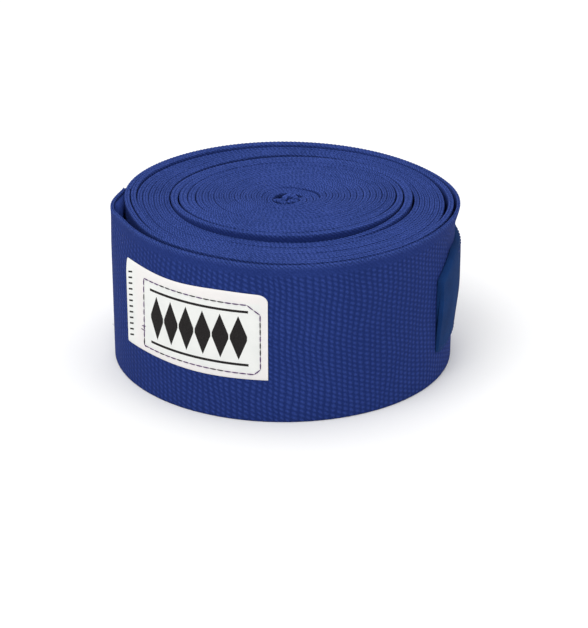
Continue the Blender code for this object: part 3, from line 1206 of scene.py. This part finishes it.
    def build(self) -> None:
        """Make the label and what is sewn and woven on it."""
        label = self.cloth()
        purple, black = self.frame()
        marks = self.marks()
        dress(label, "tab", "label")
        dress(purple, "tab", "label_stitching")
        dress(black, "tab")
        dress(marks, "tab")
        width = self.heights[1] - self.heights[0]
        length = math.radians(self.arc[1] - self.arc[0]) * (self.pads.path.outer_radius + 1.0 * MM)


@dataclass
class Closure:
    """Loop-pile patch outside and hook patch inside.

    Attributes:
        pads: Maker of pads.
        wardrobe: Materials.
        pile_arc: Bearings of the pile patch's ends.
        pile_heights: Its lower and upper edge.
        hook_arc: Bearings of the hook patch's ends.
        hook_heights: Its lower and upper edge.
    """

    pads: Pads
    wardrobe: Wardrobe
    pile_arc: tuple[float, float] = (61.0, 112.0)
    pile_heights: tuple[float, float] = (9.0 * MM, 40.2 * MM)
    hook_arc: tuple[float, float] = (-62.0, -8.0)
    hook_heights: tuple[float, float] = (9.0 * MM, 41.0 * MM)

    def pile(self) -> bpy.types.Object:
        """Pile patch: a straight left end with a long sloping upper corner, rounded elsewhere."""
        left, right = self.pile_arc
        edge = 1.0 - np.cos(np.linspace(0.0, math.pi, 121))
        bearings = left + (right - left) * edge / 2.0
        low, high = self.pile_heights
        from_left = (bearings - left) / 15.0
        from_right = (right - bearings) / 8.0
        end = np.clip(from_right, 0.0, 1.0)
        slope = 6.3 * MM * (1.0 - smooth(from_left, -0.55, 1.0)) / 0.75
        close = 5.0 * MM * (1.0 - np.sqrt(end * (2.0 - end)))
        head = high - slope - close
        foot = low + close + 1.6 * MM * (1.0 - smooth(from_left, -0.2, 0.35))
        ends = np.minimum(smooth(from_left, -0.03, 0.035), smooth(from_right, -0.05, 0.4))
        thick = 2.1 * MM * (0.25 + 0.75 * ends)
        grid = self.pads.pad(bearings, foot, head, 0.60 * MM, thick, rows=41, brow=10.0)
        height = grid.weave[..., 1] * MM
        droop = 1.0 - smooth(height, 9.0 * MM, 27.0 * MM)
        outward = grid.points - np.array([self.pads.path.axis[0], self.pads.path.axis[1], 0.0])
        outward[..., 2] = 0.0
        outward /= np.linalg.norm(outward, axis=-1, keepdims=True)
        above = np.zeros(grid.points.shape[1])
        above[: grid.points.shape[1] // 2] = 1.0
        grid.points = grid.points - outward * (1.35 * MM * droop * above[None, :])[..., None]
        return MeshMaker.tube("loop_pile_patch", grid, self.wardrobe.pile)

    def seam(self) -> bpy.types.Object:
        """Stitches along the pile patch's lower and upper edge."""
        left, right = self.pile_arc
        low, high = self.pile_heights
        stitches: list[Cloth] = []
        spans = [
            ((left + 2.0, low + 1.9 * MM), (right - 5.0, low + 1.9 * MM), 1.2 * MM),
            ((left + 15.0, high - 2.0 * MM), (right - 6.0, high - 2.0 * MM), 2.62 * MM),
        ]
        for start, end, base in spans:
            size = math.radians(end[0] - start[0]) * self.pads.path.outer_radius
            count = round(size / (2.3 * MM))
            for step in range(count):
                ends = [start[0] + (end[0] - start[0]) * (step + share) / count for share in (0.1, 0.9)]
                stitches.append(
                    self.pads.stitch((ends[0], start[1]), (ends[1], start[1]), base, 0.30 * MM)
                )
        return MeshMaker.tubes("pile_stitching", stitches, self.wardrobe.blue_thread)

    def hook(self) -> bpy.types.Object:
        """Hook patch on the inner face."""
        bearings = np.linspace(*self.hook_arc, 80)
        foot = np.full(bearings.shape, self.hook_heights[0])
        head = np.full(bearings.shape, self.hook_heights[1])
        grid = self.pads.pad(
            bearings, foot, head, 0.56 * MM, np.full(bearings.shape, 0.32 * MM), rows=31, side=-1, brow=30.0
        )
        return MeshMaker.tube("hook_patch_face", grid, self.wardrobe.hook)

    def build(self) -> None:
        """Make both patches."""
        radius = self.pads.path.outer_radius
        pile, seam, hook = self.pile(), self.seam(), self.hook()
        dress(pile, "roll", "loop_patch")
        dress(seam, "roll", "loop_patch_stitching")
        dress(hook, "tab", "hook_patch")
        span = math.radians(self.pile_arc[1] - self.pile_arc[0]) * radius
        self.pile_heights[1] - self.pile_heights[0]
        span = math.radians(self.hook_arc[1] - self.hook_arc[0]) * radius
        self.hook_heights[1] - self.hook_heights[0]


@dataclass
class EndHem:
    """Free end folded under once and sewn, with a few frayed yarns.

    Attributes:
        pads: Maker of pads.
        wardrobe: Materials.
        arc: Bearings of the fold's ends.
        heights: Lower and upper edge of the fold.
        flat_width: Width of the fold laid flat; not used.
        puff: Thickness of the fold at the free end and further in.
        seam: Bearing of the line of stitches.
        seam_heights: Where that line starts and ends, in millimetres.
        stitch_count: Stitches in the line.
        yarn_count: Frayed yarns.
    """

    pads: Pads
    wardrobe: Wardrobe
    arc: tuple[float, float] = (-100.8, -84.0)
    heights: tuple[float, float] = (0.8 * MM, 49.6 * MM)
    flat_width: float = 0.0448
    puff: tuple[float, float] = (0.35 * MM, 2.75 * MM)
    seam: float = -92.4
    seam_heights: tuple[float, float] = (3.0, 44.0)
    stitch_count: int = 18
    yarn_count: int = 14

    def fold(self) -> bpy.types.Object:
        """The part folded under, which puffs out into the gap behind the strip."""
        bearings = np.linspace(*self.arc, 24)
        foot = np.full(bearings.shape, self.heights[0])
        head = self.heights[1] - 3.0 * MM * smooth(bearings, -88.0, self.arc[1])
        thick = self.puff[0] + (self.puff[1] - self.puff[0]) * smooth(bearings, self.arc[0], -92.0)
        grid = self.pads.pad(bearings, foot, head, 0.56 * MM, thick, rows=21, side=-1, brow=20.0)
        grid.values["edge"] = np.zeros(grid.points.shape[:2])
        return MeshMaker.tube("end_hem_fold", grid, self.wardrobe.woven)

    def stitches(self) -> bpy.types.Object:
        """The hem's line of stitches, on the outside."""
        bottom, top = self.seam_heights
        length = (top - bottom) / self.stitch_count
        made = []
        for step in range(self.stitch_count):
            low, high = ((bottom + length * (step + share)) * MM for share in (0.1, 0.9))
            made.append(self.pads.stitch((self.seam, low), (self.seam, high), 0.58 * MM))
        return MeshMaker.tubes("hem_stitching", made, self.wardrobe.blue_thread)

    def fray(self) -> bpy.types.Object:
        """Frayed yarns at the free end.

        Each is a thin tube that leaves the edge of the hem on a parabola in
        height, and moves out from it as s^1.6.
        """
        rng = np.random.default_rng(11)
        yarns = []
        s = np.linspace(0.0, 1.0, 9)[:, None]
        angle = np.linspace(0.0, 2.0 * math.pi, 6, endpoint=False)[None, :]
        for height in rng.uniform(2.0, 6.5, self.yarn_count):
            reach = rng.uniform(2.0, 4.6)
            climb = rng.uniform(-2.2, 2.6)
            out = rng.uniform(2.6, 5.8)
            bearing = -100.6 - np.degrees(reach * s * MM / self.pads.path.outer_radius)
            thin = rng.uniform(0.07, 0.12) * (1.0 - 0.5 * s)
            rise = (height + climb * s + rng.uniform(-1.5, 1.5) * s**2 + thin * np.sin(angle)) * MM
            radial = (0.2 + out * s**1.6 + thin * np.cos(angle)) * MM
            points = self.pads.path.point(self.pads.path.turns_at(bearing), radial, rise, rise / STRIP_WIDTH)
            yarns.append(Cloth.plain(points))
        return MeshMaker.tubes("frayed_yarns", yarns, self.wardrobe.fuzz)

    def build(self) -> None:
        """Make the hem."""
        fold, stitches, fray = self.fold(), self.stitches(), self.fray()
        dress(fold, "end_flap", "end_hem")
        dress(stitches, "end_flap")
        dress(fray, "end_flap")
        span = math.radians(self.arc[1] - self.arc[0]) * self.pads.path.outer_radius


@dataclass
class ThumbLoop:
    """Thumb loop: the strip's inner end, doubled over and crumpled in the core.

    Attributes:
        strip: Maker of the strip.
        wardrobe: Materials.
        foot: Height of the loop's lower edge.
        flat_width: Width of the loop laid flat; not used.
        half: Half thickness of the doubled ribbon.
    """

    strip: Strip
    wardrobe: Wardrobe
    foot: float = 3.5 * MM
    flat_width: float = 0.0458
    half: float = 1.05 * MM

    def plan(self, count: int) -> Array:
        """Line of the loop in plan, in millimetres from the core's middle.

        Cosine waves of growing order make a flattened loop that is folded
        across the core: x = 2.9 cos a + 0.55 cos 3a, y = 1.9 sin a + 0.7 sin 2a.
        """
        a = np.linspace(0.25, 2.0 * math.pi - 0.25, count)
        x = 2.9 * np.cos(a) + 0.55 * np.cos(3.0 * a)
        y = 1.9 * np.sin(a) + 0.70 * np.sin(2.0 * a)
        return np.stack([x, y], axis=-1)

    def ribbon(self) -> bpy.types.Object:
        """The loop itself, a doubled ribbon along the plan line."""
        count = 110
        line = self.plan(count) * MM
        ahead = np.gradient(line, axis=0)
        ahead /= np.linalg.norm(ahead, axis=1, keepdims=True)
        aside = np.stack([ahead[:, 1], -ahead[:, 0]], axis=-1)
        outline = Section.of(4)
        s = np.linspace(0.0, 1.0, count)[:, None]
        run = np.concatenate([[0.0], np.cumsum(np.linalg.norm(np.diff(line, axis=0), axis=1))])[:, None]
        upper = (50.1 + 0.5 * np.sin(5.0 * math.pi * s) + 0.3 * np.sin(9.0 * s)) * MM
        lower = np.full((count, 1), self.foot)
        share = outline.share[None, :]
        beat = np.sin(2.0 * math.pi * run / self.strip.knot + outline.crest[None, :]) * outline.edge[None, :]
        height = lower * (1.0 - share) + upper * share + outline.rise[None, :] + 0.12 * MM * beat
        lean = (height - 40.0 * MM) * 0.08 * np.sin(7.0 * s)
        out = outline.out[None, :] * self.half + lean
        centre = self.middle()
        x = centre[0] + line[:, 0][:, None] + aside[:, 0][:, None] * out
        y = centre[1] + line[:, 1][:, None] + aside[:, 1][:, None] * out
        points = np.stack(np.broadcast_arrays(x, y, height), axis=-1)
        grid = Cloth.mapped(points, run / MM, height / MM, edge=outline.edge[None, :])
        return MeshMaker.tube("thumb_loop_ribbon", grid, self.wardrobe.woven)

    def middle(self) -> tuple[float, float]:
        """Plan position of the loop's middle, a little beside the last winding's."""
        path = self.strip.path
        east, north = path.shift(np.array(path.knots[-1][0]))
        return float(path.axis[0] + east - 0.5 * MM), float(path.axis[1] + north)

    def tack(self) -> bpy.types.Object:
        """Bar of close stitches through the loop, low in the core."""
        x, y = self.middle()
        angle = np.linspace(0.0, 2.0 * math.pi, 10, endpoint=False)[None, :]
        s = np.linspace(0.0, 1.0, 60)[:, None]
        coil = 0.35 + 0.10 * np.cos(2.0 * math.pi * 16.0 * s)
        points = np.stack(np.broadcast_arrays(
            x + 1.2 * coil * np.cos(angle) * MM, y + 0.5 * coil * np.sin(angle) * MM, (8.0 + 12.0 * s) * MM,
        ), axis=-1)
        return MeshMaker.tube("thumb_loop_bar_tack", Cloth.plain(points), self.wardrobe.blue_thread)

    def build(self) -> None:
        """Make the thumb loop."""
        loop, tack = self.ribbon(), self.tack()
        dress(loop, "core", "thumb_loop")
        dress(tack, "core", "thumb_loop_tack")


# ---------------------------------------------------------------- studio


@dataclass(frozen=True)
class Studio:
    """White sweep, soft lights and the camera.

    Attributes:
        target: Point the camera looks at.
        elevation: Degrees the camera looks down.
        distance: From the camera to that point.
        lens: Focal length for a 36 mm sensor on the long side.
        ambient: Strength of the even white light from all round.
        lamps: Name, place, side in metres and power in watts of each lamp.
    """

    target: tuple[float, float, float] = (1.902 * MM, 0.845 * MM, 11.57 * MM)
    elevation: float = 24.31
    distance: float = 0.7101
    lens: float = 127.83
    ambient: float = 0.86
    lamps: tuple[tuple[str, tuple[float, float, float], float, float], ...] = (
        ("key", (-0.30, -0.40, 1.00), 0.7, 5.6),
        ("top", (0.20, 0.30, 1.10), 0.8, 3.6),
    )

    def floor(self) -> None:
        """Wide pale floor."""
        size = 4.0
        mesh = bpy.data.meshes.new("floor")
        mesh.from_pydata(
            [(-size, -size, 0), (size, -size, 0), (size, size, 0), (-size, size, 0)], [], [(0, 1, 2, 3)]
        )
        graph = Graph("white_floor", 0.9)
        graph.colour(Shade.FLOOR.value)
        mesh.materials.append(graph.material)
        floor = bpy.data.objects.new("floor", mesh)
        bpy.context.scene.collection.objects.link(floor)

    def light(self, name: str, place: tuple[float, float, float], size: float, power: float) -> None:
        """One square area light that faces the roll."""
        lamp = bpy.data.lights.new(name, "AREA")
        lamp.size = size
        lamp.energy = power
        made = bpy.data.objects.new(name, lamp)
        made.location = place
        aim = Vector((0.0, 0.0, 0.03)) - Vector(place)
        made.rotation_euler = aim.to_track_quat("-Z", "Y").to_euler()
        bpy.context.scene.collection.objects.link(made)

    def build(self) -> None:
        """Set the stage."""
        self.floor()
        world = bpy.data.worlds.new("studio")
        world.use_nodes = True
        sky = world.node_tree.nodes["Background"]
        sky.inputs["Color"].default_value = WHITE
        sky.inputs["Strength"].default_value = self.ambient
        bpy.context.scene.world = world
        for lamp in self.lamps:
            self.light(*lamp)
        view = bpy.data.cameras.new("camera")
        view.lens = self.lens
        view.sensor_width = 36.0
        view.clip_start, view.clip_end = 0.01, 50.0
        camera = bpy.data.objects.new("camera", view)
        tilt = math.radians(self.elevation)
        back = Vector((0.0, -math.cos(tilt), math.sin(tilt)))
        camera.location = Vector(self.target) + back * self.distance
        camera.rotation_euler = (math.radians(90.0) - tilt, 0.0, 0.0)
        bpy.context.scene.collection.objects.link(camera)
        bpy.context.scene.camera = camera
        bpy.context.scene.view_settings.view_transform = "Standard"


def main() -> None:
    """Build the wrap and the studio, and log the strip's length."""
    logging.basicConfig(level=logging.INFO, format="%(name)s: %(message)s")
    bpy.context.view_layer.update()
    strip = Strip()
    wardrobe = Wardrobe()
    pads = Pads(strip.path)
    Roll(strip, wardrobe).build()
    OuterEnd(strip, wardrobe).build()
    Label(pads, wardrobe).build()
    Closure(pads, wardrobe).build()
    EndHem(pads, wardrobe).build()
    ThumbLoop(strip, wardrobe).build()
    Studio().build()
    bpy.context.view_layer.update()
    LOG.info("strip length %.3f m", strip.run(np.array(Group.CORE.value[2])))


if __name__ == "__main__":
    main()
